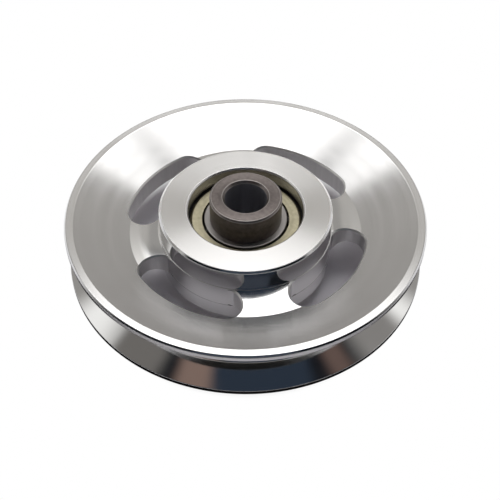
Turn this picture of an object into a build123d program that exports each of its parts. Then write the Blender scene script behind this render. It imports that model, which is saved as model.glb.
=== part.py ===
from build123d import *
import os
from math import asin, cos, degrees, pi, radians, sin, sqrt, tan

# Rope pulley: a turned aluminium sheave on a shielded ball bearing, with two steel bushings.
# Millimetres. The axis of rotation is Z, the origin is the middle of the bore,
# and the front, the side that faces up, is +Z.

# Driving sizes of the sheave
RIM_DIAMETER = 105.0
RIM_WIDTH = 17.0
RIM_CHAMFER = 0.5
RIM_WALL = 1.3  # height of the plain wall on each flange, beside the rope groove
RIM_LAND = 2.0  # width of the flat ring on each face of the rim
ROPE_ROOT_RADIUS = 3.5
FLANK_ANGLE = 30.0  # slope of each groove flank from the plane of the wheel
FRONT_DISH_DEPTH = 6.5
WEB_THICKNESS = 5.5
HUB_WALL = 5.3  # radial metal between the bearing and the outside of the hub
HUB_CHAMFER = 0.6
PAD_HEIGHT = 0.7  # low step round the foot of the hub
PAD_STEP = 0.6
PAD_BLEND = 3.1
WEB_FLAT_WIDTH = 5.2  # flat web between the foot of the blend and the foot of the dish
SLOT_COUNT = 4
SLOT_TO_GROOVE = 8.7  # metal left between a slot and the bottom of the rope groove
SLOT_TO_HUB = 0.1  # ledge left between a slot and the wall of the hub
SPOKE_WIDTH = 13.6  # metal left between the round ends of two slots
LIP_OVERLAP = 3.2  # how far the lip reaches in over the outer ring of the bearing
LIP_THICKNESS = 4.0  # height of the hub over each face of the bearing
LIP_CHAMFER = 0.4
SEAT_CHAMFER = 0.6

# Driving sizes of the ball bearing
BALL_PITCH_DIAMETER = 28.5
BALL_DIAMETER = 6.747
BALL_GAP = 4.3  # least room along the pitch circle between two balls
BEARING_SECTION = 11.5  # radial height of the bearing, from its bore to its outside
BEARING_WIDTH = 12.0
RING_CORNER = 0.6
SHOULDER_CORNER = 0.3
RACE_CONFORMITY = 0.52  # radius of a raceway's arc over the diameter of the ball
RACE_DEPTH = 1.35
CAGE_SHEET = 0.7
RIVET_DIAMETER = 1.2
RIVET_HEAD_DIAMETER = 2.0
RIVET_HEAD_HEIGHT = 0.45
SHIELD_SHEET = 0.35
SHIELD_RECESS = 0.3  # from the face of the rings down to the flat of the shield
SHIELD_SEAT_DEPTH = 1.3
SHIELD_BEVEL_WIDTH = 0.75
SHIELD_RIM_WIDTH = 1.1
SHIELD_HEM_HEIGHT = 0.9
CRIMP_DEPTH = 0.3

# Driving sizes of the bushings and the retaining ring
BUSHING_LENGTH = 29.0  # over both collars
COLLAR_SHOULDER = 2.0  # how far a collar reaches out over the face of the inner ring
COLLAR_CHAMFER = 0.5
SPIGOT_WALL = 2.4  # between the bolt's bore and the bore of the bearing
BORE_CHAMFER = 0.7
SPIGOT_CHAMFER = 0.3
CLIP_THICKNESS = 1.75
CLIP_GROOVE_DEPTH = 1.25
CLIP_WIDTH = 3.6  # radial width opposite the gap
CLIP_TAPER = 0.7  # shift of the inner circle towards the gap
CLIP_GAP_ANGLE = 30.0
CLIP_LUG_RADIUS = 2.6
CLIP_HOLE_DIAMETER = 2.5

# Named clearances
SEAT_CLEARANCE = 0.01
SPIGOT_CLEARANCE = 0.02
SPIGOT_GAP = 0.5  # left between the ends of the two bushings
RACE_CLEARANCE = 0.03
POCKET_CLEARANCE = 0.12
CAGE_CLEARANCE = 0.5
HEM_CLEARANCE = 0.15
RIVET_CLEARANCE = 0.02
SHIELD_GAP = 0.4
SHIELD_CLEARANCE = 0.05
CRIMP_CLEARANCE = 0.05
CLIP_CLEARANCE = 0.1

# Places in the bearing: a size of 17 x 40 x 12, with its balls midway between bore and outside
PITCH_RADIUS = BALL_PITCH_DIAMETER / 2
BORE_RADIUS = PITCH_RADIUS - BEARING_SECTION / 2
BEARING_RADIUS = PITCH_RADIUS + BEARING_SECTION / 2
BEARING_HALF = BEARING_WIDTH / 2
SEAT_RADIUS = BEARING_RADIUS + SEAT_CLEARANCE
BALL_RADIUS = BALL_DIAMETER / 2
BALL_COUNT = int(pi * BALL_PITCH_DIAMETER / (BALL_DIAMETER + BALL_GAP))
BALL_STEP = 360.0 / BALL_COUNT
RACE_RADIUS = RACE_CONFORMITY * BALL_DIAMETER
RACE_EDGE = sqrt(RACE_RADIUS**2 - (RACE_RADIUS - RACE_DEPTH) ** 2)
INNER_RACE_FLOOR = PITCH_RADIUS - BALL_RADIUS - RACE_CLEARANCE
OUTER_RACE_FLOOR = PITCH_RADIUS + BALL_RADIUS + RACE_CLEARANCE
INNER_SHOULDER = INNER_RACE_FLOOR + RACE_DEPTH
OUTER_SHOULDER = OUTER_RACE_FLOOR - RACE_DEPTH
SHIELD_SEAT = BEARING_HALF - SHIELD_SEAT_DEPTH
SHIELD_TOP = BEARING_HALF - SHIELD_RECESS
SHIELD_INNER = INNER_SHOULDER + SHIELD_GAP
SHIELD_FOOT = OUTER_SHOULDER + SHIELD_CLEARANCE
SHIELD_FLAT = SHIELD_FOOT - SHIELD_BEVEL_WIDTH
SHIELD_RIM = SHIELD_FOOT + SHIELD_RIM_WIDTH
CRIMP_RADIUS = SHIELD_RIM + CRIMP_CLEARANCE
CRIMP_TOP = SHIELD_SEAT + SHIELD_SHEET + CRIMP_CLEARANCE
SEAT_MOUTH = CRIMP_RADIUS - CRIMP_DEPTH
CAGE_INNER = SHIELD_INNER + SHIELD_SHEET + HEM_CLEARANCE
CAGE_OUTER = OUTER_SHOULDER - CAGE_CLEARANCE
POCKET_RADIUS = BALL_RADIUS + POCKET_CLEARANCE
RIVET_RADIUS = RIVET_DIAMETER / 2

# Rope groove: a round root with its centre on the mid-plane, tangent to both flanks
RIM_RADIUS = RIM_DIAMETER / 2
RIM_HALF = RIM_WIDTH / 2
FLANK = radians(FLANK_ANGLE)
GROOVE_EDGE = RIM_HALF - RIM_CHAMFER - RIM_WALL
FLANK_APEX = RIM_RADIUS - GROOVE_EDGE / tan(FLANK)
ROOT_CENTRE = FLANK_APEX + ROPE_ROOT_RADIUS / sin(FLANK)
ROOT_FLOOR = ROOT_CENTRE - ROPE_ROOT_RADIUS
ROOT_TANGENT_R = ROOT_CENTRE - ROPE_ROOT_RADIUS * sin(FLANK)
ROOT_TANGENT_Z = ROPE_ROOT_RADIUS * cos(FLANK)

# Places on the sheave
LAND_INNER = RIM_RADIUS - RIM_CHAMFER - RIM_LAND
WEB_FRONT = RIM_HALF - FRONT_DISH_DEPTH
WEB_REAR = WEB_FRONT - WEB_THICKNESS
HUB_RADIUS = BEARING_RADIUS + HUB_WALL
HUB_HALF = BEARING_HALF + LIP_THICKNESS
PAD_RADIUS = HUB_RADIUS + PAD_STEP
PAD_FOOT = PAD_RADIUS + PAD_BLEND
DISH_FOOT = PAD_FOOT + WEB_FLAT_WIDTH
SLOT_INNER = HUB_RADIUS + SLOT_TO_HUB
SLOT_OUTER = ROOT_FLOOR - SLOT_TO_GROOVE
SLOT_WIDTH = SLOT_OUTER - SLOT_INNER
SLOT_PITCH = (SLOT_OUTER + SLOT_INNER) / 2
SLOT_SPAN = 360.0 / SLOT_COUNT - 2 * degrees(asin((SPOKE_WIDTH + SLOT_WIDTH) / 2 / SLOT_PITCH))
LIP_RADIUS = BEARING_RADIUS - LIP_OVERLAP

# Places on the bushings and the retaining ring
BUSHING_HALF = BUSHING_LENGTH / 2
COLLAR_RADIUS = BORE_RADIUS + COLLAR_SHOULDER
BOLT_RADIUS = BORE_RADIUS - SPIGOT_WALL
SPIGOT_RADIUS = BORE_RADIUS - SPIGOT_CLEARANCE
SPIGOT_END = SPIGOT_GAP / 2
CLIP_GROOVE_RADIUS = BEARING_RADIUS + CLIP_GROOVE_DEPTH
CLIP_RADIUS = CLIP_GROOVE_RADIUS - CLIP_CLEARANCE
CLIP_REAR = -BEARING_HALF - CLIP_THICKNESS
CLIP_GROOVE_REAR = CLIP_REAR - CLIP_CLEARANCE


def profile(*edges):
    """Closed face in the XZ plane from edges drawn as (radius, height)."""
    return Plane.XZ * make_face(Curve() + list(edges))


def turned(*edges):
    """Solid of revolution about Z from the edges of its profile."""
    return revolve(profile(*edges), Axis.Z)


def from_rear(shape):
    """The same piece on the rear side of the wheel."""
    return mirror(shape, about=Plane.XY)


def tube(inner, outer, bottom, top):
    """Plain ring between two radii and two heights."""
    ring = Circle(outer) - Circle(inner)
    return extrude(Plane.XY.offset(bottom) * ring, top - bottom)


def wedge(reach, angle):
    """Flat triangle from the axis outwards, an angle wide and centred on X."""
    half_angle = radians(angle / 2)
    far = (reach * cos(half_angle), reach * sin(half_angle))
    return make_face(Polyline((0, 0), (far[0], -far[1]), far, close=True))


def rim_face(web_height, side):
    """One face of the sheave: web, dish, flat land, chamfer, plain wall and groove flank."""
    return Polyline(
        (PAD_FOOT, web_height),
        (DISH_FOOT, web_height),
        (LAND_INNER, side * RIM_HALF),
        (RIM_RADIUS - RIM_CHAMFER, side * RIM_HALF),
        (RIM_RADIUS, side * (RIM_HALF - RIM_CHAMFER)),
        (RIM_RADIUS, side * GROOVE_EDGE),
        (ROOT_TANGENT_R, side * ROOT_TANGENT_Z),
    )


def pad_blend(web_height, side):
    """Hollow curve from the step round the hub down to the web."""
    step = (PAD_RADIUS, web_height + side * PAD_HEIGHT)
    return TangentArc((PAD_FOOT, web_height), step, tangent=(-1, 0))


def front_hub():
    """Lip over the bearing, hub face, hub wall and the step at its foot."""
    step = WEB_FRONT + PAD_HEIGHT
    return Polyline(
        (LIP_RADIUS, BEARING_HALF),
        (LIP_RADIUS, HUB_HALF - LIP_CHAMFER),
        (LIP_RADIUS + LIP_CHAMFER, HUB_HALF),
        (HUB_RADIUS - HUB_CHAMFER, HUB_HALF),
        (HUB_RADIUS, HUB_HALF - HUB_CHAMFER),
        (HUB_RADIUS, step),
        (PAD_RADIUS, step),
    )


def rear_hub():
    """Rear step, hub wall and face, then the bearing seat with the groove for its retaining ring."""
    step = WEB_REAR - PAD_HEIGHT
    return Polyline(
        (PAD_RADIUS, step),
        (HUB_RADIUS, step),
        (HUB_RADIUS, HUB_CHAMFER - HUB_HALF),
        (HUB_RADIUS - HUB_CHAMFER, -HUB_HALF),
        (SEAT_RADIUS + SEAT_CHAMFER, -HUB_HALF),
        (SEAT_RADIUS, SEAT_CHAMFER - HUB_HALF),
        (SEAT_RADIUS, CLIP_GROOVE_REAR),
        (CLIP_GROOVE_RADIUS, CLIP_GROOVE_REAR),
        (CLIP_GROOVE_RADIUS, -BEARING_HALF),
        (SEAT_RADIUS, -BEARING_HALF),
        (SEAT_RADIUS, BEARING_HALF),
        (LIP_RADIUS, BEARING_HALF),
    )


def kidney_slot():
    """Cutter for one slot: an arc round the hub with full round ends, its middle on X."""
    path = CenterArc((0, 0), SLOT_PITCH, -SLOT_SPAN / 2, SLOT_SPAN)
    return extrude(SlotArc(path, SLOT_WIDTH), RIM_HALF, both=True)


def make_sheave():
    """The wheel, turned from one blank and milled through with the kidney slots."""
    groove_root = ThreePointArc(
        (ROOT_TANGENT_R, ROOT_TANGENT_Z), (ROOT_FLOOR, 0), (ROOT_TANGENT_R, -ROOT_TANGENT_Z)
    )
    blank = turned(
        front_hub(),
        pad_blend(WEB_FRONT, 1),
        rim_face(WEB_FRONT, 1),
        groove_root,
        rim_face(WEB_REAR, -1),
        pad_blend(WEB_REAR, -1),
        rear_hub(),
    )
    return blank - PolarLocations(0, SLOT_COUNT) * kidney_slot()


def make_outer_ring():
    """Outer ring, with its raceway, both shield seats and the grooves that hold the crimped rims."""
    upper = Polyline(
        (OUTER_SHOULDER, RACE_EDGE),
        (OUTER_SHOULDER, SHIELD_SEAT),
        (CRIMP_RADIUS, SHIELD_SEAT),
        (CRIMP_RADIUS, CRIMP_TOP),
        (SEAT_MOUTH, CRIMP_TOP),
        (SEAT_MOUTH, BEARING_HALF),
        (BEARING_RADIUS, BEARING_HALF),
        (BEARING_RADIUS, 0),
    )
    race = ThreePointArc((OUTER_SHOULDER, RACE_EDGE), (OUTER_RACE_FLOOR, 0), (OUTER_SHOULDER, -RACE_EDGE))
    section = make_face(Curve() + [upper, mirror(upper, about=Plane.XZ), race])
    section = fillet(section.vertices().group_by(Axis.X)[-1].filter_by(is_face_corner), RING_CORNER)
    return revolve(Plane.XZ * section, Axis.Z)


def make_inner_ring():
    """Inner ring, with its raceway, a rounded bore and softened shoulders."""
    upper = Polyline(
        (INNER_SHOULDER, RACE_EDGE),
        (INNER_SHOULDER, BEARING_HALF),
        (BORE_RADIUS, BEARING_HALF),
        (BORE_RADIUS, 0),
    )
    race = ThreePointArc((INNER_SHOULDER, RACE_EDGE), (INNER_RACE_FLOOR, 0), (INNER_SHOULDER, -RACE_EDGE))
    section = make_face(Curve() + [upper, mirror(upper, about=Plane.XZ), race])
    section = fillet(section.vertices().group_by(Axis.X)[0].filter_by(is_face_corner), RING_CORNER)
    section = fillet(section.vertices().group_by(Axis.X)[-1].filter_by(is_face_corner), SHOULDER_CORNER)
    return revolve(Plane.XZ * section, Axis.Z)


def is_face_corner(vertex):
    """Whether a corner of a drawn ring section lies on one of the ring's end faces."""
    return abs(abs(vertex.Y) - BEARING_HALF) < 1e-6


def ball_places(turn=0.0):
    """Places on the pitch circle, one for each ball, or turned by an angle from them."""
    return PolarLocations(PITCH_RADIUS, BALL_COUNT, start_angle=turn)


def make_cage_half():
    """Front half of the pressed cage: a flat ribbon with a round pocket over each ball."""
    ribbon = tube(CAGE_INNER, CAGE_OUTER, 0, CAGE_SHEET)
    band = tube(CAGE_INNER, CAGE_OUTER, 0, POCKET_RADIUS + CAGE_SHEET)
    domes = Part() + ball_places() * Sphere(POCKET_RADIUS + CAGE_SHEET)
    pockets = Part() + ball_places() * Sphere(POCKET_RADIUS)
    holes = ball_places(BALL_STEP / 2) * Cylinder(RIVET_RADIUS + RIVET_CLEARANCE, 4 * CAGE_SHEET)
    return ribbon + (band & domes) - pockets - holes


def make_rivet():
    """Rivet with a domed head on each side of the two ribbons."""
    head = RIVET_HEAD_DIAMETER / 2
    top = CAGE_SHEET + RIVET_HEAD_HEIGHT
    return turned(
        Polyline((0, -top), (0, top)),
        TangentArc((0, top), (head, CAGE_SHEET), tangent=(1, 0)),
        Polyline(
            (head, CAGE_SHEET),
            (RIVET_RADIUS, CAGE_SHEET),
            (RIVET_RADIUS, -CAGE_SHEET),
            (head, -CAGE_SHEET),
        ),
        TangentArc((0, -top), (head, -CAGE_SHEET), tangent=(1, 0)),
    )


def make_shield():
    """Front shield: crimped rim, bevel, flat and a hem turned down beside the inner ring."""
    bevel_shift = SHIELD_SHEET / 3
    return turned(
        Polyline(
            (SHIELD_RIM, SHIELD_SEAT),
            (SHIELD_RIM, SHIELD_SEAT + SHIELD_SHEET),
            (SHIELD_FOOT, SHIELD_SEAT + SHIELD_SHEET),
            (SHIELD_FLAT, SHIELD_TOP),
            (SHIELD_INNER, SHIELD_TOP),
            (SHIELD_INNER, SHIELD_TOP - SHIELD_HEM_HEIGHT),
            (SHIELD_INNER + SHIELD_SHEET, SHIELD_TOP - SHIELD_HEM_HEIGHT),
            (SHIELD_INNER + SHIELD_SHEET, SHIELD_TOP - SHIELD_SHEET),
            (SHIELD_FLAT - bevel_shift, SHIELD_TOP - SHIELD_SHEET),
            (SHIELD_FOOT - bevel_shift, SHIELD_SEAT),
            close=True,
        )
    )


def make_bushing():
    """Front bushing: a collar that stands on the inner ring and a spigot inside its bore."""
    return turned(
        Polyline(
            (BOLT_RADIUS, SPIGOT_END),
            (SPIGOT_RADIUS - SPIGOT_CHAMFER, SPIGOT_END),
            (SPIGOT_RADIUS, SPIGOT_END + SPIGOT_CHAMFER),
            (SPIGOT_RADIUS, BEARING_HALF),
            (COLLAR_RADIUS, BEARING_HALF),
            (COLLAR_RADIUS, BUSHING_HALF - COLLAR_CHAMFER),
            (COLLAR_RADIUS - COLLAR_CHAMFER, BUSHING_HALF),
            (BOLT_RADIUS + BORE_CHAMFER, BUSHING_HALF),
            (BOLT_RADIUS, BUSHING_HALF - BORE_CHAMFER),
            close=True,
        )
    )


def make_retaining_ring():
    """Internal ring behind the bearing: it tapers towards a gap between two lugs with plier holes."""
    inner = CLIP_RADIUS + CLIP_TAPER - CLIP_WIDTH
    band = Circle(CLIP_RADIUS) - Pos(CLIP_TAPER, 0) * Circle(inner)
    lug_pitch = CLIP_RADIUS - CLIP_LUG_RADIUS
    lug_angle = CLIP_GAP_ANGLE / 2 + degrees(asin(CLIP_LUG_RADIUS / lug_pitch))
    lugs = [Rot(0, 0, side * lug_angle) * Pos(lug_pitch, 0) for side in (-1, 1)]
    outline = band - wedge(2 * CLIP_RADIUS, CLIP_GAP_ANGLE) + [lug * Circle(CLIP_LUG_RADIUS) for lug in lugs]
    outline = outline - [lug * Circle(CLIP_HOLE_DIAMETER / 2) for lug in lugs]
    return extrude(Plane.XY.offset(CLIP_REAR) * outline, CLIP_THICKNESS)


def make_nodes():
    """Every sub-part by its name."""
    shield = make_shield()
    bushing = make_bushing()
    cage_half = make_cage_half()
    nodes = {
        "sheave": make_sheave(),
        "bearing_outer_ring": make_outer_ring(),
        "bearing_inner_ring": make_inner_ring(),
        "shield_front": shield,
        "shield_rear": from_rear(shield),
        "bushing_front": bushing,
        "bushing_rear": from_rear(bushing),
        "retaining_ring": make_retaining_ring(),
        "cage_front": cage_half,
        "cage_rear": from_rear(cage_half),
        "cage_rivets": Compound(children=[place * make_rivet() for place in ball_places(BALL_STEP / 2)]),
    }
    for number, place in enumerate(ball_places(), start=1):
        nodes[f"ball_{number}"] = place * Sphere(BALL_RADIUS)
    return nodes


os.makedirs("parts", exist_ok=True)
for name, shape in make_nodes().items():
    export_step(shape, f"parts/{name}.step")
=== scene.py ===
"""Looks of the rope pulley: a turned aluminium sheave on a shielded ball bearing with steel bushings.

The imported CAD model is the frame. Each visible piece is turned again here as a fine mesh on the
same sizes, in millimetres, and takes the place of its CAD node. The axis of the wheel is Z, the
origin is the middle of the bore, and the front of the wheel faces up.
"""

import logging
import math
from collections.abc import Iterable, Sequence
from dataclasses import dataclass
from enum import Enum

import bpy
from mathutils import Matrix, Vector

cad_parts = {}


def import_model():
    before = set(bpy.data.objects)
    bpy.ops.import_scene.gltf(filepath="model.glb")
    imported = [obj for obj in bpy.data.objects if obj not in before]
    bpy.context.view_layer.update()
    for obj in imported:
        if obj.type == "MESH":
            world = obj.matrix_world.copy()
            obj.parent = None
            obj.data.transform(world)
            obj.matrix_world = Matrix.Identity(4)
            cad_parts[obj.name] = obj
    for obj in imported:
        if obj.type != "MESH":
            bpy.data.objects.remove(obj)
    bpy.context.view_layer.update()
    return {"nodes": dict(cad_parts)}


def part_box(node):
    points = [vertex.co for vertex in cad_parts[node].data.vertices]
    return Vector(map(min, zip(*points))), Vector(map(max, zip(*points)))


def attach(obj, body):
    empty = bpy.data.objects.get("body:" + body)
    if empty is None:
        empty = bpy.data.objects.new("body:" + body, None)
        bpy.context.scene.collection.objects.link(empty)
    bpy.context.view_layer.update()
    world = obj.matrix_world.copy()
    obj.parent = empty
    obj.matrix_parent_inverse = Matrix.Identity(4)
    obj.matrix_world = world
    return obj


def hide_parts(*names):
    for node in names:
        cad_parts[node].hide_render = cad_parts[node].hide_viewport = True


MM = 0.001
LOG = logging.getLogger("rope_pulley")

Colour = tuple[float, float, float]


class Side(Enum):
    """Side of the wheel that a piece is on, as the sign of its heights."""

    FRONT = 1
    REAR = -1


class Surface(Enum):
    """How a face was cut, as the index of its material on the piece."""

    TURNED = 0
    MILLED = 1
    EDGE = 2
    WALL = 3
    GROOVE = 4


class Blend(Enum):
    """Ways in which two colours are mixed."""

    MIX = "MIX"
    MULTIPLY = "MULTIPLY"
    LIGHTEN = "LIGHTEN"


# Shader graph


class Value:
    """A number in a shader, with the operators that add its Math nodes."""

    def __init__(self, graph: "Graph", socket: bpy.types.NodeSocket) -> None:
        """Wraps an output socket.

        Args:
            graph: The graph that it is in.
            socket: The socket of one of its nodes.
        """
        self.graph = graph
        self.socket = socket

    def _math(self, operation: str, *operands: "Value | float") -> "Value":
        """Adds one Math node.

        Args:
            operation: Blender's name of the operation.
            operands: The values or numbers that it takes, in order.

        Returns:
            The result of the node.
        """
        links = dict(enumerate(operands))
        return self.graph.node("ShaderNodeMath", {"operation": operation}, links)

    def __add__(self, other: "Value | float") -> "Value":
        """Sum of two values."""
        return self._math("ADD", self, other)

    def __radd__(self, other: float) -> "Value":
        """Sum with a number on the left."""
        return self._math("ADD", other, self)

    def __sub__(self, other: "Value | float") -> "Value":
        """Difference of two values."""
        return self._math("SUBTRACT", self, other)

    def __rsub__(self, other: float) -> "Value":
        """Difference with a number on the left."""
        return self._math("SUBTRACT", other, self)

    def __mul__(self, other: "Value | float") -> "Value":
        """Product of two values."""
        return self._math("MULTIPLY", self, other)

    def __rmul__(self, other: float) -> "Value":
        """Product with a number on the left."""
        return self._math("MULTIPLY", other, self)

    def __truediv__(self, other: "Value | float") -> "Value":
        """Quotient of two values."""
        return self._math("DIVIDE", self, other)

    def __rtruediv__(self, other: float) -> "Value":
        """Quotient with a number on the left."""
        return self._math("DIVIDE", other, self)

    def size(self) -> "Value":
        """The value without its sign."""
        return self._math("ABSOLUTE", self)

    def dot(self, axis: Vector) -> "Value":
        """Part of a vector along a fixed axis.

        Args:
            axis: The axis, of length 1.

        Returns:
            The part, as a number.
        """
        links = {0: self, 1: tuple(axis)}
        return self.graph.node("ShaderNodeVectorMath", {"operation": "DOT_PRODUCT"}, links, 1)

    def ramp(self, low: float, high: float) -> "Value":
        """Smooth step from 0 to 1.

        Args:
            low: Where it is 0.
            high: Where it is 1.

        Returns:
            The step.
        """
        settings = {"interpolation_type": "SMOOTHSTEP"}
        links = {"Value": self, "From Min": low, "From Max": high}
        return self.graph.node("ShaderNodeMapRange", settings, links)


Link = Value | float | Colour | tuple[float, float, float, float]


class Graph:
    """The node tree of one material or world."""

    def __init__(self, owner: bpy.types.Material | bpy.types.World) -> None:
        """Empties the owner's node tree and keeps it.

        Args:
            owner: The material or world.
        """
        owner.use_nodes = True
        self.tree = owner.node_tree
        self.tree.nodes.clear()

    def node(
        self,
        kind: str,
        settings: dict[str, object] | None = None,
        links: dict[str | int, Link] | None = None,
        output: str | int = 0,
    ) -> Value:
        """Adds one node.

        Args:
            kind: Blender's type name of the node.
            settings: Properties of the node, set before its sockets.
            links: A value, a number or a colour for each named or numbered input.
            output: The output that the result stands for.

        Returns:
            The chosen output.
        """
        made = self.tree.nodes.new(kind)
        for name, setting in (settings or {}).items():
            setattr(made, name, setting)
        for key, link in (links or {}).items():
            socket = made.inputs[key]
            if isinstance(link, Value):
                self.tree.links.new(link.socket, socket)
            elif isinstance(link, tuple) and socket.type == "RGBA" and len(link) == 3:
                socket.default_value = (*link, 1.0)
            else:
                socket.default_value = link
        return Value(self, made.outputs[output])

    def mix(self, factor: Link, first: Link, second: Link, blend: Blend = Blend.MIX) -> Value:
        """Mixes two colours.

        Args:
            factor: Share of the second colour.
            first: Colour at factor 0.
            second: Colour at factor 1.
            blend: How the second colour acts on the first.

        Returns:
            The mixed colour.
        """
        settings = {"data_type": "RGBA", "blend_type": blend.value}
        return self.node("ShaderNodeMix", settings, {0: factor, 6: first, 7: second}, 2)

    def place(self) -> tuple[Value, Value]:
        """Place of the shaded point on the wheel.

        Returns:
            Its distance from the axis and its height, in millimetres.
        """
        point = self.node("ShaderNodeTexCoord", output="Object")
        across = self.node("ShaderNodeVectorMath", {"operation": "MULTIPLY"}, {0: point, 1: (1.0, 1.0, 0.0)})
        radius = self.node("ShaderNodeVectorMath", {"operation": "LENGTH"}, {0: across}, 1)
        height = self.node("ShaderNodeSeparateXYZ", links={0: point}, output="Z")
        return radius * (1 / MM), height * (1 / MM)

    def rings(self, radius: Value, height: Value, spacing: float) -> Value:
        """Concentric turning marks: noise that changes along the profile and not round it.

        Args:
            radius: Distance from the axis.
            height: Height along the axis.
            spacing: Usual distance between two marks, in millimetres.

        Returns:
            The noise, about 0.5 on average.
        """
        along = (radius + height * 0.7) * (1 / spacing)
        links = {"W": along, "Scale": 1.0, "Detail": 2.0, "Roughness": 0.6}
        return self.node("ShaderNodeTexNoise", {"noise_dimensions": "1D"}, links)

    def grain(self, scale: float, detail: float = 3.0, stretch: Colour = (1.0, 1.0, 1.0)) -> Value:
        """Noise in space.

        Args:
            scale: Features per metre.
            detail: Octaves of the noise.
            stretch: Factor on each axis.

        Returns:
            The noise, about 0.5 on average.
        """
        point = self.node("ShaderNodeTexCoord", output="Object")
        scaled = self.node("ShaderNodeVectorMath", {"operation": "MULTIPLY"}, {0: point, 1: stretch})
        return self.node("ShaderNodeTexNoise", links={"Vector": scaled, "Scale": scale, "Detail": detail})

    def bump(self, height: Value, depth: float, strength: float = 1.0) -> Value:
        """Bump of a height from 0 to 1.

        Args:
            height: The height.
            depth: What a height of 1 stands for, in millimetres.
            strength: Share of the bump that shows.

        Returns:
            The bumped normal.
        """
        links = {"Height": height, "Distance": depth * MM, "Strength": strength}
        return self.node("ShaderNodeBump", links=links)

    def surface(self, shader: Value, kind: str = "ShaderNodeOutputMaterial") -> None:
        """Sends a shader to the output of the tree.

        Args:
            shader: The shader.
            kind: Blender's type name of the output.
        """
        made = self.tree.nodes.new(kind)
        self.tree.links.new(shader.socket, made.inputs["Surface"])


# Finishes


@dataclass(frozen=True)
class TurnedMetal:
    """Bare or plated metal from a lathe, brushed round the axis."""

    name: str
    colour: Colour
    roughness: float
    anisotropy: float = 0.7
    mark_spacing: float = 0.35
    mark_depth: float = 0.0006
    tone: float = 0.06
    tone_scale: float = 90.0
    stain: float = 0.82
    rough_change: float = 0.08

    def build(self) -> bpy.types.Material:
        """Makes the material.

        Returns:
            The material.
        """
        made = bpy.data.materials.new(self.name)
        graph = Graph(made)
        radius, height = graph.place()
        fine = graph.rings(radius, height, self.mark_spacing)
        broad = graph.rings(radius, height, 9 * self.mark_spacing)
        cloud = graph.grain(self.tone_scale)
        shade = (broad - 0.5) * self.tone + (cloud - 0.5) * self.tone
        dark = tuple(c * self.stain for c in self.colour)
        links = {
            "Base Color": graph.mix(0.5 - shade, self.colour, dark),
            "Metallic": 1.0,
            "Roughness": self.roughness + (broad - 0.5) * self.rough_change + (cloud - 0.5) * self.rough_change,
            "Anisotropic": self.anisotropy,
            "Anisotropic Rotation": 0.25,
            "Normal": graph.bump(fine, self.mark_depth),
        }
        graph.surface(graph.node("ShaderNodeBsdfPrincipled", links=links))
        return made


@dataclass(frozen=True)
class MilledMetal:
    """Metal cut by an end mill, with upright tool marks on the walls."""

    name: str
    colour: Colour
    roughness: float = 0.42

    def build(self) -> bpy.types.Material:
        """Makes the material.

        Returns:
            The material.
        """
        made = bpy.data.materials.new(self.name)
        graph = Graph(made)
        marks = graph.grain(900.0, 2.0, (1.0, 1.0, 0.05))
        dark = tuple(c * 0.86 for c in self.colour)
        links = {
            "Base Color": graph.mix(marks, self.colour, dark),
            "Metallic": 1.0,
            "Roughness": self.roughness + (marks - 0.5) * 0.2,
            "Normal": graph.bump(marks, 0.007),
        }
        graph.surface(graph.node("ShaderNodeBsdfPrincipled", links=links))
        return made


Finish = TurnedMetal | MilledMetal


# Meshes

Point = tuple[float, float, float]
Corner = tuple[int, Point]


class Draft:
    """A mesh under construction, in millimetres, that shares the vertices at one place."""

    def __init__(self) -> None:
        """Starts with nothing."""
        self.points: list[Point] = []
        self.index: dict[tuple[int, int, int], int] = {}
        self.faces: list[tuple[int, ...]] = []
        self.normals: list[Point] = []
        self.surfaces: list[int] = []

    def corner(self, point: Point, normal: Point) -> Corner:
        """A corner of a face.

        Args:
            point: Where it is.
            normal: The normal that it shows.

        Returns:
            The number of its vertex, and the normal.
        """
        key = tuple(round(c * 20000) for c in point)
        if key not in self.index:
            self.index[key] = len(self.points)
            self.points.append(point)
        return self.index[key], normal

    def face(self, corners: Sequence[Corner], surface: Surface = Surface.TURNED) -> None:
        """Adds a face, without the corners that fall on each other.

        Args:
            corners: Its corners in order, either way round.
            surface: How it is cut.
        """
        kept: list[Corner] = []
        for corner in corners:
            if corner[0] not in [k[0] for k in kept]:
                kept.append(corner)
        if len(kept) < 3:
            return
        a, b, c = (Vector(self.points[kept[k][0]]) for k in (0, 1, 2))
        facing = (b - a).cross(c - a)
        shown = sum((Vector(k[1]) for k in kept), Vector())
        if facing.dot(shown) < 0:
            kept.reverse()
        self.faces.append(tuple(k[0] for k in kept))
        self.normals.extend(k[1] for k in kept)
        self.surfaces.append(surface.value)

    def finish(self, name: str, materials: Iterable[bpy.types.Material]) -> bpy.types.Object:
        """Makes the object.

        Args:
            name: Its name.
            materials: Its materials, in the order of their index.

        Returns:
            The object, in metres.
        """
        mesh = bpy.data.meshes.new(name)
        mesh.from_pydata([tuple(c * MM for c in p) for p in self.points], [], self.faces)
        for material in materials:
            mesh.materials.append(material)
        mesh.polygons.foreach_set("material_index", self.surfaces)
        mesh.polygons.foreach_set("use_smooth", [True] * len(self.faces))
        mesh.normals_split_custom_set(self.normals)
        made = bpy.data.objects.new(name, mesh)
        bpy.context.scene.collection.objects.link(made)
        return made


@dataclass(frozen=True)
class Station:
    """One end of a stretch of a turned profile, with the normal that it shows there."""

    radius: float
    height: float
    out: float
    up: float

    def at(self, angle: float) -> tuple[Point, Point]:
        """The station at one place round the axis.

        Args:
            angle: Angle from X.

        Returns:
            The point and its normal.
        """
        c, s = math.cos(angle), math.sin(angle)
        return (
            (self.radius * c, self.radius * s, self.height),
            (self.out * c, self.out * s, self.up),
        )


@dataclass(frozen=True)
class Stretch:
    """A smooth stretch of a turned profile between two stations."""

    start: Station
    end: Station
    surface: Surface = Surface.TURNED


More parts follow.
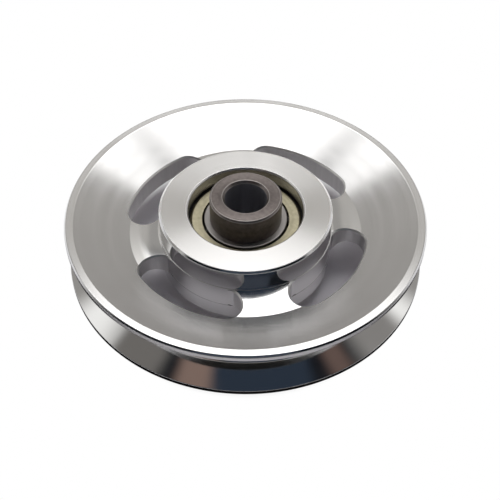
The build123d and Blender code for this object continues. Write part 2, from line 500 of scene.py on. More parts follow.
class Outline:
    """A turned profile, drawn so that the metal is always on the right of the line."""

    def __init__(self, radius: float, height: float, edge: Surface | None = None) -> None:
        """Puts the pen at the first corner.

        Args:
            radius: Distance of the corner from the axis.
            height: Height of the corner along the axis.
            edge: How the small rounds at the corners are cut, or None where they are as the line after them.
        """
        self.edge = edge
        self.tip = (radius, height)
        self.soften = 0.0
        self.stretches: list[Stretch] = []

    def to(self, radius: float, height: float, soften: float = 0.0, surface: Surface = Surface.TURNED) -> "Outline":
        """Draws a straight line.

        Args:
            radius: Where it ends, from the axis.
            height: Where it ends, along the axis.
            soften: How far the small round at its end reaches along both lines.
            surface: How the line is cut.

        Returns:
            The outline, so that calls can be chained.
        """
        run, rise = radius - self.tip[0], height - self.tip[1]
        length = math.hypot(run, rise)
        out, up = -rise / length, run / length
        line = Stretch(Station(*self.tip, out, up), Station(radius, height, out, up), surface)
        if self.soften:
            before = self.stretches.pop()
            rounds = soft_corner(before.end, line.start, self.soften, self.edge or surface)
            self.stretches.append(Stretch(before.start, rounds[0].start, before.surface))
            self.stretches.extend(rounds)
            line = Stretch(rounds[-1].end, line.end, surface)
        self.stretches.append(line)
        self.tip = (radius, height)
        self.soften = soften
        return self

    def hollow(self, centre: float, reach: float, first: float, last: float, surface: Surface) -> "Outline":
        """Draws a hollow arc with its centre on the mid-plane.

        Args:
            centre: Radius of its centre from the axis.
            reach: Radius of the arc.
            first: Angle of its first point, in degrees.
            last: Angle of its last point, in degrees.
            surface: How it is cut.

        Returns:
            The outline, so that calls can be chained.
        """
        steps = max(4, round(abs(last - first) / 5))
        stations = []
        for step in range(steps + 1):
            angle = math.radians(first + (last - first) * step / steps)
            c, s = math.cos(angle), math.sin(angle)
            stations.append(Station(centre + reach * c, reach * s, -c, -s))
        self.stretches.extend(Stretch(a, b, surface) for a, b in zip(stations, stations[1:]))
        self.tip = (stations[-1].radius, stations[-1].height)
        self.soften = 0.0
        return self


def soft_corner(before: Station, after: Station, reach: float, surface: Surface, steps: int = 3) -> list[Stretch]:
    """The small round between two straight lines.

    Args:
        before: End of the line before the corner.
        after: Start of the line after the corner, at the same place.
        reach: How far the round reaches along each line.
        surface: How it is cut.
        steps: Number of lines in it.

    Returns:
        The stretches of the round.
    """
    first = (before.radius - reach * before.up, before.height + reach * before.out)
    last = (after.radius + reach * after.up, after.height - reach * after.out)
    stations = []
    for step in range(steps + 1):
        t = step / steps
        a, b, c = (1 - t) ** 2, 2 * t * (1 - t), t**2
        out, up = (1 - t) * before.out + t * after.out, (1 - t) * before.up + t * after.up
        length = math.hypot(out, up)
        radius = a * first[0] + b * before.radius + c * last[0]
        height = a * first[1] + b * before.height + c * last[1]
        stations.append(Station(radius, height, out / length, up / length))
    return [Stretch(a, b, surface) for a, b in zip(stations, stations[1:])]


def on_side(stretches: Iterable[Stretch], side: Side) -> list[Stretch]:
    """The stretches of a front piece, turned over for a rear one.

    Args:
        stretches: The stretches as they are on the front.
        side: The side that they are wanted on.

    Returns:
        The stretches on that side.
    """

    def turned_over(station: Station) -> Station:
        """A station on the wanted side."""
        return Station(station.radius, side.value * station.height, station.out, side.value * station.up)

    return [Stretch(turned_over(s.start), turned_over(s.end), s.surface) for s in stretches]


def turn(draft: Draft, stretches: Iterable[Stretch], angles: Sequence[float]) -> None:
    """Turns stretches of a profile round the axis into a mesh.

    Args:
        draft: The mesh that they are added to.
        stretches: The profile.
        angles: Angles of the columns, in order round the axis.
    """
    columns = list(zip(angles, [*angles[1:], angles[0] + math.tau]))
    for stretch in stretches:
        for left, right in columns:
            corners = [
                draft.corner(*stretch.start.at(left)),
                draft.corner(*stretch.end.at(left)),
                draft.corner(*stretch.end.at(right)),
                draft.corner(*stretch.start.at(right)),
            ]
            draft.face(corners, stretch.surface)


def turned_piece(name: str, stretches: Iterable[Stretch], *finishes: Finish, columns: int = 192) -> bpy.types.Object:
    """A piece that is the same all round.

    Args:
        name: Its name.
        stretches: Its closed profile.
        finishes: Its finishes, in the order of the surfaces that have them.
        columns: Number of columns round the axis.

    Returns:
        The object.
    """
    draft = Draft()
    turn(draft, stretches, [math.tau * k / columns for k in range(columns)])
    return draft.finish(name, [finish.build() for finish in finishes])


def carry(piece: bpy.types.Object, body: str, slot: str, *nodes: str) -> bpy.types.Object:
    """Puts a piece on its body, in the place of its CAD nodes.

    Args:
        piece: The piece.
        body: The CAD body that carries it.
        slot: The record's material slot; not used.
        nodes: The CAD nodes that it stands for.

    Returns:
        The piece.
    """
    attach(piece, body)
    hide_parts(*nodes)
    LOG.info("%s: %d faces on %s", piece.name, len(piece.data.polygons), body)
    return piece


# The sheave


@dataclass(frozen=True)
class KidneySlot:
    """One slot through the web, an arc round the hub centred on X, with full round ends. Millimetres."""

    inner: float
    outer: float
    half_span: float  # angle from its middle to the centre of each round end, in degrees
    chamfer: float = 0.45

    @property
    def half_width(self) -> float:
        """Radius of the round ends."""
        return (self.outer - self.inner) / 2

    @property
    def reach(self) -> float:
        """Radius of the round ends over the chamfer."""
        return self.half_width + self.chamfer

    @property
    def pitch(self) -> float:
        """Distance from the axis to the middle of the slot."""
        return (self.outer + self.inner) / 2

    @property
    def end_centre(self) -> Vector:
        """Centre of the round end on the side of +Y."""
        angle = math.radians(self.half_span)
        return Vector((self.pitch * math.cos(angle), self.pitch * math.sin(angle), 0.0))

    def end_at(self, radius: float) -> float:
        """Where the chamfered end of the slot is at a radius.

        Args:
            radius: Distance from the axis.

        Returns:
            Its angle from X.
        """
        pitch, reach = self.pitch, self.reach
        cosine = (radius**2 + pitch**2 - reach**2) / (2 * radius * pitch)
        return math.radians(self.half_span) + math.acos(max(-1.0, min(1.0, cosine)))

    def edge_point(self, radius: float, angle: float) -> tuple[Vector, Vector, float]:
        """A point on the upper edge of the slot.

        Args:
            radius: Distance from the axis.
            angle: Angle from X.

        Returns:
            The point, the direction away from the slot and the width of the chamfer there.
        """
        point = Vector((radius * math.cos(angle), radius * math.sin(angle), 0.0))
        if abs(angle) > math.radians(self.half_span) + 1e-9:
            centre = self.end_centre
            centre.y = math.copysign(centre.y, angle)
            away = point - centre
            return point, away.normalized(), away.length - self.half_width
        away = point.normalized() if radius > self.pitch else -point.normalized()
        return point, away, abs(radius - self.pitch) - self.half_width

    def rows(self, breaks: Iterable[float], steps: int = 18) -> list[float]:
        """Radii of the rows of mesh between the inner and the outer edge of the slot.

        Args:
            breaks: Radii at which the face of the wheel bends, which have a row of their own.
            steps: Number of rows over a round end.

        Returns:
            The radii from the inner to the outer edge.
        """
        low, high = self.inner, self.pitch + self.reach
        found = {low, high, *breaks}
        for step in range(1, steps):
            angle = math.pi * step / steps
            found.add(math.hypot(self.pitch + self.reach * math.cos(angle), self.reach * math.sin(angle)))
        kept = sorted(r for r in found if low <= r <= high)
        return [r for k, r in enumerate(kept) if k == 0 or r - kept[k - 1] > 0.01]


@dataclass(frozen=True)
class Sheave:
    """The wheel: hub, slotted web, dished sides and a rim with its rope groove. Millimetres."""

    rim_radius: float
    hub_half: float
    rim_half: float = 8.5
    rim_chamfer: float = 0.5
    rim_wall: float = 1.3
    rim_land: float = 2.0
    flank_angle: float = 30.0
    root_radius: float = 3.5
    web_front: float = 2.0
    web_rear: float = -3.5
    web_flat: float = 2.2
    pad_step: float = 0.6
    pad_height: float = 0.75
    pad_blend: float = 6.1
    hub_radius: float = 25.3
    hub_chamfer: float = 0.6
    lip_radius: float = 16.8
    lip_foot: float = 6.0
    lip_chamfer: float = 0.4
    seat_radius: float = 20.01
    seat_chamfer: float = 0.6
    clip_groove_radius: float = 21.25
    clip_groove_rear: float = -7.85
    slot: KidneySlot = KidneySlot(inner=25.4, outer=35.695, half_span=21.976)
    slot_count: int = 4
    slot_columns: int = 56
    spoke_columns: int = 34
    soft: float = 0.15

    @property
    def land_inner(self) -> float:
        """Radius at which the dish meets the flat land of the rim."""
        return self.rim_radius - self.rim_chamfer - self.rim_land

    @property
    def pad_radius(self) -> float:
        """Radius of the step at the foot of the hub."""
        return self.hub_radius + self.pad_step

    def web(self, side: Side) -> float:
        """Height of the flat web."""
        return self.web_front if side is Side.FRONT else self.web_rear

    def face_at(self, radius: float, side: Side, outward: bool) -> Station:
        """A station on the pad, the web or the dish.

        Args:
            radius: Distance from the axis.
            side: Which face of the wheel.
            outward: Whether the normal is that of the surface just outside the radius.

        Returns:
            The station.
        """
        foot = self.pad_radius + self.pad_blend
        dish = foot + self.web_flat
        web, sign = self.web(side), side.value
        near = radius + (1e-6 if outward else -1e-6)
        height, slope = web, 0.0
        if near < self.pad_radius:
            height = web + sign * self.pad_height
        elif near < foot:
            bend = (self.pad_blend**2 + self.pad_height**2) / (2 * self.pad_height)
            fall = math.sqrt(bend**2 - (foot - radius) ** 2)
            height = web + sign * (bend - fall)
            slope = -(foot - radius) / fall
        elif near > dish:
            slope = (self.rim_half - sign * web) / (self.land_inner - dish)
            height = web + sign * slope * (radius - dish)
        length = math.hypot(slope, 1.0)
        return Station(radius, height, -slope / length, sign / length)

    def hub_outline(self, side: Side) -> list[Stretch]:
        """The hub from its bore to the inner edge of the slots.

        Args:
            side: Which face of the wheel.

        Returns:
            The stretches of its profile.
        """
        step = abs(self.web(side) + side.value * self.pad_height)
        if side is Side.FRONT:
            pen = Outline(self.lip_radius, self.lip_foot, Surface.EDGE)
            pen.to(self.lip_radius, self.hub_half - self.lip_chamfer, self.soft)
            pen.to(self.lip_radius + self.lip_chamfer, self.hub_half, self.soft)
        else:
            pen = Outline(self.lip_radius, -self.lip_foot, Surface.EDGE).to(self.seat_radius, -self.lip_foot)
            pen.to(self.seat_radius, self.lip_foot)
            pen.to(self.clip_groove_radius, self.lip_foot)
            pen.to(self.clip_groove_radius, -self.clip_groove_rear)
            pen.to(self.seat_radius, -self.clip_groove_rear)
            pen.to(self.seat_radius, self.hub_half - self.seat_chamfer, self.soft)
            pen.to(self.seat_radius + self.seat_chamfer, self.hub_half, self.soft)
        pen.to(self.hub_radius - self.hub_chamfer, self.hub_half, self.soft)
        pen.to(self.hub_radius, self.hub_half - self.hub_chamfer, self.soft, Surface.WALL)
        pen.to(self.hub_radius, step, self.soft, Surface.WALL)
        pen.to(self.slot.inner, step)
        return on_side(pen.stretches, side)

    def rim_outline(self) -> list[Stretch]:
        """Both sides of the rim and the rope groove, from the outer edge of the slots.

        Returns:
            The stretches of the profile.
        """
        slope = math.radians(self.flank_angle)
        wall_foot = self.rim_half - self.rim_chamfer - self.rim_wall
        centre = self.rim_radius - wall_foot / math.tan(slope) + self.root_radius / math.sin(slope)
        tangent = (centre - self.root_radius * math.sin(slope), self.root_radius * math.cos(slope))
        edge = self.slot.pitch + self.slot.reach
        dish = {side: self.face_at(edge, side, outward=True) for side in Side}
        pen = Outline(dish[Side.FRONT].radius, dish[Side.FRONT].height)
        pen.to(self.land_inner, self.rim_half, self.soft)
        pen.to(self.rim_radius - self.rim_chamfer, self.rim_half, self.soft)
        pen.to(self.rim_radius, self.rim_half - self.rim_chamfer, self.soft, Surface.WALL)
        pen.to(self.rim_radius, wall_foot, self.soft, Surface.WALL)
        pen.to(*tangent, surface=Surface.GROOVE)
        pen.hollow(centre, self.root_radius, 90 + self.flank_angle, 270 - self.flank_angle, Surface.GROOVE)
        pen.to(self.rim_radius, -wall_foot, self.soft, Surface.GROOVE)
        pen.to(self.rim_radius, self.rim_chamfer - self.rim_half, self.soft, Surface.WALL)
        pen.to(self.rim_radius - self.rim_chamfer, -self.rim_half, self.soft, Surface.WALL)
        pen.to(self.land_inner, -self.rim_half, self.soft)
        pen.to(dish[Side.REAR].radius, dish[Side.REAR].height)
        return pen.stretches

    def columns(self, radius: float) -> list[float]:
        """Angles of the mesh columns round a full ring, which meet the ends of the slots.

        Args:
            radius: Radius at which they meet the slots.

        Returns:
            The angles in order.
        """
        edge = self.slot.end_at(radius)
        quarter = math.tau / self.slot_count
        across = [edge * (2 * k / self.slot_columns - 1) for k in range(self.slot_columns)]
        between = [edge + (quarter - 2 * edge) * k / self.spoke_columns for k in range(self.spoke_columns)]
        return [quarter * turn_count + angle for turn_count in range(self.slot_count) for angle in across + between]

    def rows(self) -> list[float]:
        """Radii of the rows of mesh between the slots.

        Returns:
            The radii from the hub outwards.
        """
        foot = self.pad_radius + self.pad_blend
        breaks = [self.pad_radius + self.pad_blend * k / 8 for k in range(9)] + [foot + self.web_flat]
        return self.slot.rows(breaks)

    def add_spokes(self, draft: Draft, side: Side) -> None:
        """Adds the web and dish between the slots on one face.

        Args:
            draft: The mesh that they are added to.
            side: Which face of the wheel.
        """
        quarter = math.tau / self.slot_count
        rows = self.rows()
        for low, high in zip(rows, rows[1:]):
            start, end = self.face_at(low, side, outward=True), self.face_at(high, side, outward=False)
            edges = [self.slot.end_at(r) for r in (low, high)]
            surface = Surface.WALL if high < self.pad_radius + self.pad_blend + self.web_flat + 0.01 else Surface.TURNED
            for spoke in range(self.slot_count):
                for k in range(self.spoke_columns):
                    angles = [
                        [quarter * spoke + edge + (quarter - 2 * edge) * (k + j) / self.spoke_columns for j in (0, 1)]
                        for edge in edges
                    ]
                    corners = [
                        draft.corner(*start.at(angles[0][0])),
                        draft.corner(*end.at(angles[1][0])),
                        draft.corner(*end.at(angles[1][1])),
                        draft.corner(*start.at(angles[0][1])),
                    ]
                    draft.face(corners, surface)

    def slot_edge(self) -> list[tuple[float, float]]:
        """The upper edge of the slot on X.

        Returns:
            Radius and angle of each point, in order round the slot.
        """
        rows = self.rows()
        low, high = rows[0], rows[-1]
        steps = [2 * k / self.slot_columns - 1 for k in range(self.slot_columns + 1)]
        inner = [(low, self.slot.end_at(low) * s) for s in steps]
        outer = [(high, self.slot.end_at(high) * s) for s in reversed(steps)]
        end = [(r, self.slot.end_at(r)) for r in rows[1:-1]]
        return inner + end + outer + [(r, -angle) for r, angle in reversed(end)]

    def add_slot(self, draft: Draft, number: int) -> None:
        """Adds the chamfers and the milled walls of one slot.

        Along the hub the chamfer runs out into the wall of the hub, which goes on down the slot.

        Args:
            draft: The mesh that they are added to.
            number: Which slot, counted from the one on X.
        """
        spin = Matrix.Rotation(math.tau * number / self.slot_count, 3, "Z")
        rings: list[list[tuple[Point, Point]]] = [[] for _ in range(8)]
        for radius, angle in self.slot_edge():
            point, away, width = self.slot.edge_point(radius, angle)
            for side, order in ((Side.FRONT, (0, 1, 2, 3)), (Side.REAR, (7, 6, 5, 4))):
                up = Vector((0.0, 0.0, side.value))
                level = Vector((0.0, 0.0, self.face_at(radius, side, outward=radius < self.slot.outer).height))
                foot = point - away * width + level - up * self.slot.chamfer
                brow = point + level - up * (self.slot.chamfer - width)
                places = ((point + level, -away), (brow, up - away), (foot, up - away), (foot, -away))
                if brow == foot:
                    places = (places[0], places[3], places[3], places[3])
                for ring, (place, normal) in zip(order, places):
                    rings[ring].append((tuple(spin @ place), tuple(spin @ normal.normalized())))
        cuts = (
            (0, 1, Surface.MILLED),
            (1, 2, Surface.EDGE),
            (3, 4, Surface.MILLED),
            (6, 5, Surface.EDGE),
            (7, 6, Surface.MILLED),
        )
        for first, second, surface in cuts:
            count = len(rings[0])
            for k in range(count):
                following = (k + 1) % count
                corners = [
                    draft.corner(*rings[first][k]),
                    draft.corner(*rings[second][k]),
                    draft.corner(*rings[second][following]),
                    draft.corner(*rings[first][following]),
                ]
                inside = surface is Surface.MILLED and k < self.slot_columns
                draft.face(corners, Surface.WALL if inside else surface)

    def build(self) -> bpy.types.Object:
        """Makes the wheel and dresses it.

        Returns:
            The wheel.
        """
        draft = Draft()
        inner = self.columns(self.slot.inner)
        for side in Side:
            turn(draft, self.hub_outline(side), inner)
            self.add_spokes(draft, side)
        turn(draft, self.rim_outline(), self.columns(self.slot.pitch + self.slot.reach))
        for number in range(self.slot_count):
            self.add_slot(draft, number)
        finishes = (SHEAVE_FINISH, SLOT_FINISH, EDGE_FINISH, WALL_FINISH, GROOVE_FINISH)
        piece = draft.finish("sheave_turned", [finish.build() for finish in finishes])
        return carry(piece, "wheel", "turned_aluminium", "sheave")


# The bearing


@dataclass(frozen=True)
class Bearing:
    """The shielded ball bearing. Millimetres."""

    half_width: float
    bore_radius: float
    inner_shoulder: float
    outer_radius: float
    shield_rim: float
    race_depth: float = 1.35
    race_edge: float = 2.85
    ring_corner: float = 0.6
    shield_seat: float = 4.7
    sheet: float = 0.35
    shield_top: float = 5.7
    shield_gap: float = 0.5
    shield_bevel: float = 0.6
    shield_rim_width: float = 1.1
    hem_height: float = 0.9
    seat_gap: float = 0.05
    crimp_depth: float = 0.3
    outer_shoulder: float = 16.3

    def inner_ring(self) -> bpy.types.Object:
        """The inner ring with its raceway.

        Returns:
            The ring.
        """
        pen = Outline(self.bore_radius, -self.half_width / 2)
        pen.to(self.bore_radius, self.half_width, self.ring_corner)
        pen.to(self.inner_shoulder, self.half_width, 0.3)
        pen.to(self.inner_shoulder, self.race_edge)
        pen.to(self.inner_shoulder - self.race_depth * 0.75, self.race_edge * 0.5)
        pen.to(self.inner_shoulder - self.race_depth, 0.0)
        pen.to(self.inner_shoulder - self.race_depth * 0.75, -self.race_edge * 0.5)
        pen.to(self.inner_shoulder, -self.race_edge)
        pen.to(self.inner_shoulder, -self.half_width, 0.3)
        pen.to(self.bore_radius, -self.half_width, self.ring_corner)
        pen.to(self.bore_radius, -self.half_width / 2)
        piece = turned_piece("bearing_inner_ring_turned", pen.stretches, RING_FINISH)
        return carry(piece, "axle_bushings", "bearing_steel", "bearing_inner_ring")

    def outer_ring(self) -> bpy.types.Object:
        """The outer ring with its raceway and the seats of both shields.

        Returns:
            The ring.
        """
        crimp = self.shield_rim + self.seat_gap
        mouth, top = crimp - self.crimp_depth, self.shield_seat + self.sheet + self.seat_gap
        half = [
            (self.outer_shoulder, self.race_edge),
            (self.outer_shoulder, self.shield_seat),
            (crimp, self.shield_seat),
            (crimp, top),
            (mouth, top),
        ]
        pen = Outline(self.outer_shoulder + self.race_depth, 0.0)
        pen.to(self.outer_shoulder + self.race_depth * 0.75, -self.race_edge * 0.5)
        for radius, height in half:
            pen.to(radius, -height)
        pen.to(mouth, -self.half_width, 0.15)
        pen.to(self.outer_radius, -self.half_width, self.ring_corner)
        pen.to(self.outer_radius, self.half_width, self.ring_corner)
        pen.to(mouth, self.half_width, 0.15)
        for radius, height in reversed(half):
            pen.to(radius, height)
        pen.to(self.outer_shoulder + self.race_depth * 0.75, self.race_edge * 0.5)
        pen.to(self.outer_shoulder + self.race_depth, 0.0)
        backwards = [Stretch(opposite(s.start), opposite(s.end), s.surface) for s in pen.stretches]
        piece = turned_piece("bearing_outer_ring_turned", backwards, RING_FINISH)
        return carry(piece, "wheel", "bearing_steel", "bearing_outer_ring")

    def shield(self, side: Side) -> bpy.types.Object:
        """The pressed shield on one side.

        Args:
            side: Which side of the bearing.

        Returns:
            The shield.
        """
        inner = self.inner_shoulder + self.shield_gap
        foot = self.shield_rim - self.shield_rim_width
        flat = foot - self.shield_bevel
        shift = self.sheet / 3
        pen = Outline(inner, self.shield_top - self.hem_height)
        pen.to(inner, self.shield_top, 0.2)
        pen.to(flat, self.shield_top, 0.25)
        pen.to(foot, self.shield_seat + self.sheet, 0.1)
        # The flat rim outside the bevel takes the second finish, which is near-black: a painted shadow of the shield's
        # lip.
        pen.to(self.shield_rim, self.shield_seat + self.sheet, 0.08, Surface.MILLED)
        pen.to(self.shield_rim, self.shield_seat)
        pen.to(foot - shift, self.shield_seat)
        pen.to(flat - shift, self.shield_top - self.sheet)
        pen.to(inner + self.sheet, self.shield_top - self.sheet)
        pen.to(inner + self.sheet, self.shield_top - self.hem_height)
        pen.to(inner, self.shield_top - self.hem_height)
        name = f"shield_{side.name.lower()}"
        piece = turned_piece(f"{name}_pressed", on_side(pen.stretches, side), SHIELD_FINISH, SHIELD_RIM_PAINTED_SHADOW)
        return carry(piece, "wheel", "zinc_plated_shield", name)

    def build(self, nodes: dict[str, bpy.types.Object]) -> None:
        """Makes the rings and shields, and gives the balls and the cage their finish.

        Args:
            nodes: The CAD nodes by name.
        """
        self.inner_ring()
        self.outer_ring()
        for side in Side:
            self.shield(side)
        ball, cage = BALL_FINISH.build(), CAGE_FINISH.build()
        for name, node in nodes.items():
            if name.startswith("ball_"):
                dress_node(node, ball)
            elif name.startswith("cage_"):
                dress_node(node, cage)


def opposite(station: Station) -> Station:
    """A station that faces the other way."""
    return Station(station.radius, station.height, -station.out, -station.up)


def dress_node(node: bpy.types.Object, material: bpy.types.Material) -> None:
    """Gives a CAD node that stays its own finish.

    Args:
        node: The object of the node.
        material: Its finish.
    """
    node.data.materials.clear()
    node.data.materials.append(material)
    LOG.info("%s: CAD node with finish %s", node.name, material.name)


# Bushings and retaining ring


@dataclass(frozen=True)
class Bushing:
    """One steel bushing: a collar outside the bearing and a spigot inside it. Millimetres."""

    half_length: float
    collar_radius: float
    bolt_radius: float = 6.1
    spigot_radius: float = 8.48
    spigot_end: float = 0.25
    spigot_chamfer: float = 0.3
    shoulder: float = 6.0
    collar_chamfer: float = 0.5
    bore_chamfer: float = 0.7
    soft: float = 0.12

    def build(self, side: Side) -> bpy.types.Object:
        """Makes the bushing on one side.

        Args:
            side: Which side of the wheel.

        Returns:
            The bushing.
        """
        pen = Outline(self.bolt_radius, self.spigot_end, Surface.EDGE)
        pen.to(self.bolt_radius, self.half_length - self.bore_chamfer, self.soft, Surface.MILLED)
        pen.to(self.bolt_radius + self.bore_chamfer, self.half_length, self.soft)
        pen.to(self.collar_radius - self.collar_chamfer, self.half_length, self.soft)
        pen.to(self.collar_radius, self.half_length - self.collar_chamfer, self.soft)
        pen.to(self.collar_radius, self.shoulder)
        pen.to(self.spigot_radius, self.shoulder)
        pen.to(self.spigot_radius, self.spigot_end + self.spigot_chamfer)
        pen.to(self.spigot_radius - self.spigot_chamfer, self.spigot_end)
        pen.to(self.bolt_radius, self.spigot_end)
        name = f"bushing_{side.name.lower()}"
        # The small rounds at the corners take the third finish, lighter than the body: partly worn blackening, partly a
        # painted highlight.
        piece = turned_piece(f"{name}_turned", on_side(pen.stretches, side), BUSHING_FINISH, BORE_FINISH, WORN_AND_HIGHLIGHT_EDGE_FINISH)
        return carry(piece, "axle_bushings", "blackened_steel", name)


# Finishes of this pulley

SHEAVE_FINISH = TurnedMetal(
    "turned_aluminium_bright", (0.80, 0.79, 0.78), roughness=0.22, anisotropy=0.85, mark_depth=0.0001, tone=0.02
)
SLOT_FINISH = MilledMetal("milled_aluminium", (0.89, 0.88, 0.875), roughness=0.5)
# Deburred chamfers and small rounds, lighter than the body: the real deburred cut, with a painted highlight on the
# edges.
EDGE_FINISH = TurnedMetal("deburred_aluminium_painted_highlight", (0.86, 0.85, 0.84), roughness=0.42, anisotropy=0.0, tone=0.0)
WALL_FINISH = TurnedMetal(
    "turned_aluminium_wall",
    (0.80, 0.795, 0.79),
    roughness=0.09,
    anisotropy=0.3,
    mark_depth=0.0001,
    tone=0.03,
    rough_change=0.03,
)
GROOVE_FINISH = TurnedMetal(
    "turned_aluminium_groove", (0.76, 0.755, 0.75), roughness=0.09, anisotropy=0.5, mark_depth=0.0001, tone=0.03
)
RING_FINISH = TurnedMetal("ground_bearing_steel", (0.40, 0.38, 0.365), roughness=0.3)
SHIELD_FINISH = TurnedMetal(
    "plated_shield", (0.60, 0.55, 0.39), roughness=0.42, anisotropy=0.2, tone=0.9, tone_scale=700.0, stain=0.45
)
# Near-black shield rim flat: a painted shadow of the shield's lip.
SHIELD_RIM_PAINTED_SHADOW = MilledMetal("shield_rim_painted_shadow", (0.03, 0.028, 0.026), roughness=0.5)
BALL_FINISH = TurnedMetal("polished_ball_steel", (0.6, 0.6, 0.6), roughness=0.08, anisotropy=0.0, tone=0.0)
CAGE_FINISH = MilledMetal("pressed_cage_steel", (0.5, 0.48, 0.46), roughness=0.35)
BUSHING_FINISH = TurnedMetal(
    "blackened_bushing",
    (0.275, 0.24, 0.228),
    roughness=0.36,
    anisotropy=0.6,
    mark_depth=0.0008,
    tone=0.9,
    tone_scale=900.0,
    stain=0.4,
)
# Lighter colour of the bushing's rounded edges: partly worn blackening, partly a painted highlight.
WORN_AND_HIGHLIGHT_EDGE_FINISH = TurnedMetal("worn_and_highlighted_bushing_edge", (0.42, 0.39, 0.37), roughness=0.38, anisotropy=0.0, tone=0.0)
# Bore of the bushing, coloured lighter than the blackened body: painted light standing in for the little light that
# reaches inside the bore.
BORE_FINISH = MilledMetal("bushing_bore_painted_lighter", (0.45, 0.45, 0.48), roughness=0.65)
CLIP_FINISH = MilledMetal("blackened_spring_steel", (0.09, 0.09, 0.095), roughness=0.35)


# Camera, floor and light


@dataclass(frozen=True)
class Camera:
    """Where the photograph was taken from, round the middle of the wheel. Millimetres and degrees."""

    azimuth: float = 33.5
    elevation: float = 46.158
    distance: float = 283.5
    aim_right: float = 1.31
    aim_back: float = -7.53
    roll: float = 0.566
    lens: float = 68.546

    def place(self, right: float, back: float, up: float) -> Vector:
        """A point given as seen from the camera.

        Args:
            right: Distance to the right of the axis.
            back: Distance behind the axis.
            up: Height.

        Returns:
            The point in the frame of the part, in metres.
        """
        turned = Matrix.Rotation(math.radians(self.azimuth), 3, "Z") @ Vector((right, back, up))
        return turned * MM

    def build(self) -> bpy.types.Object:
        """Makes the camera.

        Returns:
            The camera.
        """
        data = bpy.data.cameras.new("camera")
        data.lens = self.lens
        data.clip_start = 0.01
        made = bpy.data.objects.new("camera", data)
        bpy.context.scene.collection.objects.link(made)
        slope = math.radians(self.elevation)
        made.location = self.place(0.0, -self.distance * math.cos(slope), self.distance * math.sin(slope))
        aim = self.place(self.aim_right, self.aim_back, 0.0) - made.location
        facing = aim.to_track_quat("-Z", "Y").to_matrix() @ Matrix.Rotation(math.radians(self.roll), 3, "Z")
        made.rotation_euler = facing.to_euler()
        bpy.context.scene.camera = made
        return made


@dataclass(frozen=True)
class Screen:
    """A soft-edged rectangle of the surroundings, bright or dark, as seen from the wheel. Degrees."""

    name: str
    bearing: float  # 0 is straight behind the wheel as the camera sees it, and 90 is to its right
    elevation: float
    half_width: float
    half_height: float
    colour: Colour
    soft: float = 6.0

    def axes(self, azimuth: float) -> tuple[Vector, Vector, Vector]:
        """Directions of the screen.

        Args:
            azimuth: Azimuth of the camera.

        Returns:
            Unit vectors towards its middle, along its width and up its height.
        """
        slope, turned = math.radians(self.elevation), math.radians(90 + azimuth - self.bearing)
        across = Vector((math.sin(turned), -math.cos(turned), 0.0))
        facing = Vector((math.cos(slope) * math.cos(turned), math.cos(slope) * math.sin(turned), math.sin(slope)))
        return facing, across, across.cross(facing)

    def paint(self, graph: Graph, direction: Value, azimuth: float, colour: Link) -> Value:
        """Paints the screen over a colour.

        Args:
            graph: The node tree of the surroundings.
            direction: Unit vector away from the wheel.
            azimuth: Azimuth of the camera.
            colour: What lies behind the screen.

        Returns:
            The colour with the screen over it.
        """
        facing, across, upright = (direction.dot(axis) for axis in self.axes(azimuth))
        share = facing.ramp(0.0, 0.1)
        for offset, half in ((across, self.half_width), (upright, self.half_height)):
            edges = [math.tan(math.radians(half + sign * self.soft)) for sign in (1, -1)]
            share = share * (offset / facing).size().ramp(*edges)
        return graph.mix(share, colour, self.colour)


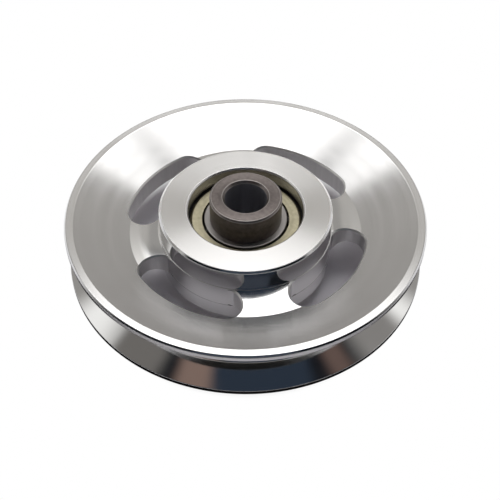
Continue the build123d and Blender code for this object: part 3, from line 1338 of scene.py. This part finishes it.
@dataclass(frozen=True)
class Studio:
    """A pale floor in a grey room, dark behind the camera, with the soft screens that the metal reflects."""

    azimuth: float
    floor_height: float
    dark: Colour = (0.012, 0.014, 0.018)
    room: Colour = (0.39, 0.38, 0.365)
    room_top: float = 49.0
    table: Colour = (0.9, 0.9, 0.92)
    screens: tuple[Screen, ...] = (
        Screen("wall_light_left", -86.0, 34.0, 14.0, 8.0, (1.2, 1.2, 1.18), 6.0),
        Screen("wall_light_right", 84.0, 33.0, 15.0, 8.0, (1.2, 1.2, 1.18), 6.0),
        Screen("room_low", 0.0, 4.0, 34.0, 9.0, (0.24, 0.225, 0.22), 6.0),
        Screen("room_band", 0.0, 44.5, 17.0, 4.0, (0.52, 0.505, 0.48), 2.5),
        Screen("lamp_rim", 0.0, 49.5, 9.0, 2.5, (0.85, 0.83, 0.80), 1.5),
        Screen("lamp_side_left", -33.0, 56.5, 10.0, 5.5, (2.0, 2.0, 2.0), 2.5),
        Screen("lamp_side_right", 33.0, 56.5, 10.0, 6.0, (2.1, 2.1, 2.1), 2.5),
        Screen("lamp_low", 0.0, 58.0, 12.0, 8.5, (2.3, 2.3, 2.3), 2.5),
        Screen("lamp_high", 0.0, 73.0, 17.5, 14.0, (3.0, 3.0, 3.0), 4.0),
        Screen("grey_patch_left", -103.0, 50.0, 8.0, 16.0, (0.20, 0.19, 0.18), 2.5),
        Screen("grey_patch_right", 86.0, 46.0, 8.0, 14.0, (0.30, 0.29, 0.28), 4.0),
        Screen("brown_patch_left", -145.0, 62.0, 9.0, 12.0, (0.27, 0.19, 0.16), 3.0),
        Screen("brown_patch_right", 111.0, 56.0, 3.5, 12.0, (0.16, 0.11, 0.095), 2.5),
        Screen("table_front", 180.0, 5.0, 25.0, 9.0, (0.38, 0.37, 0.36), 4.0),
        Screen("navy_low", 180.0, 32.0, 24.0, 13.0, (0.06, 0.072, 0.095), 3.0),
        Screen("navy_patch", 165.0, 62.0, 18.0, 18.0, (0.03, 0.043, 0.065), 3.0),
    )

    def world(self) -> None:
        """Makes the surroundings."""
        world = bpy.data.worlds.new("surroundings")
        bpy.context.scene.world = world
        graph = Graph(world)
        direction = graph.node("ShaderNodeTexCoord", output="Generated")
        turned = math.radians(90 + self.azimuth)
        back = direction.dot(Vector((math.cos(turned), math.sin(turned), 0.0)))
        rise = direction.dot(Vector((0.0, 0.0, 1.0)))
        top = math.sin(math.radians(self.room_top))
        below = 1 - rise.ramp(top - 0.05, top + 0.05)
        colour: Link = graph.mix(back.ramp(-0.3, 0.2) * below, self.dark, self.room)
        colour = graph.mix((1 - back.ramp(0.6, 0.85)) * (1 - rise.ramp(0.12, 0.3)), colour, self.table)
        for screen in self.screens:
            colour = screen.paint(graph, direction, self.azimuth, colour)
        seen = graph.node("ShaderNodeLightPath", output="Is Camera Ray")
        background = graph.mix(seen, colour, (1.0, 1.0, 1.0))
        shader = graph.node("ShaderNodeBackground", links={"Color": background, "Strength": 1.0})
        graph.surface(shader, "ShaderNodeOutputWorld")

    def floor(self) -> None:
        """Makes the floor: white away from the wheel's shadow, and near-black in front in the metal's reflections, with
        a painted shadow of the wheel close to its rim and a dark mat farther out.
        """
        mesh = bpy.data.meshes.new("floor")
        reach, level = 1.2, self.floor_height * MM
        corners = [(-reach, -reach, level), (reach, -reach, level), (reach, reach, level), (-reach, reach, level)]
        mesh.from_pydata(corners, [], [(0, 1, 2, 3)])
        made = bpy.data.objects.new("floor", mesh)
        bpy.context.scene.collection.objects.link(made)
        material = bpy.data.materials.new("pale_floor")
        graph = Graph(material)
        radius, _ = graph.place()
        turned = math.radians(90 + self.azimuth)
        point = graph.node("ShaderNodeTexCoord", output="Object")
        behind = point.dot(Vector((math.cos(turned), math.sin(turned), 0.0))) * (1 / MM)
        seen = graph.node("ShaderNodeLightPath", output="Is Camera Ray")
        mirrored = graph.node("ShaderNodeLightPath", output="Is Glossy Ray")
        paper = graph.node("ShaderNodeBsdfDiffuse", links={"Color": (0.96, 0.935, 0.98)})
        white = graph.node("ShaderNodeEmission", links={"Color": (1.0, 1.0, 1.0), "Strength": 1.0})
        # Near-black for reflections in front of the wheel: from about 52 to 65 mm out it is a painted shadow of the
        # wheel, and from about 92 mm out a dark mat. The lit paper shows between the two.
        shadow_and_dark_mat = graph.node("ShaderNodeBsdfDiffuse", links={"Color": (0.02, 0.02, 0.02)})
        strip = radius.ramp(62.0, 68.0) * (1 - radius.ramp(85.0, 100.0))
        reflected_shadow_and_mat = mirrored * (1 - behind.ramp(-25.0, 15.0)) * radius.ramp(50.0, 55.0) * (1 - strip)
        paper = graph.node("ShaderNodeMixShader", links={0: reflected_shadow_and_mat, 1: paper, 2: shadow_and_dark_mat})
        share = seen * radius.ramp(41.0, 50.0) + mirrored * behind.ramp(25.0, 45.0) * radius.ramp(55.0, 62.0)
        graph.surface(graph.node("ShaderNodeMixShader", links={0: share, 1: paper, 2: white}))
        mesh.materials.append(material)

    def build(self) -> None:
        """Makes the floor and the surroundings."""
        self.world()
        self.floor()


def reach_of(node: str) -> tuple[float, float]:
    """Size of a round CAD node at rest.

    Args:
        node: Its name.

    Returns:
        Its radius and its highest point, in millimetres.
    """
    low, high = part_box(node)
    return high.x / MM, high.z / MM


def main() -> None:
    """Builds the scene."""
    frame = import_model()
    bpy.context.scene.view_settings.view_transform = "Standard"
    camera = Camera()
    camera.build()
    rim_radius, hub_half = reach_of("sheave")
    Sheave(rim_radius=rim_radius, hub_half=hub_half).build()
    inner_shoulder, half_width = reach_of("bearing_inner_ring")
    bearing = Bearing(
        half_width=half_width,
        bore_radius=8.5,
        inner_shoulder=inner_shoulder,
        outer_radius=reach_of("bearing_outer_ring")[0],
        shield_rim=reach_of("shield_front")[0],
    )
    bearing.build(frame["nodes"])
    collar_radius, half_length = reach_of("bushing_front")
    for side in Side:
        Bushing(half_length=half_length, collar_radius=collar_radius).build(side)
    dress_node(frame["nodes"]["retaining_ring"], CLIP_FINISH.build())
    Studio(azimuth=camera.azimuth, floor_height=-half_length).build()


if __name__ == "__main__":
    logging.basicConfig(level=logging.INFO, format="%(message)s")
    main()
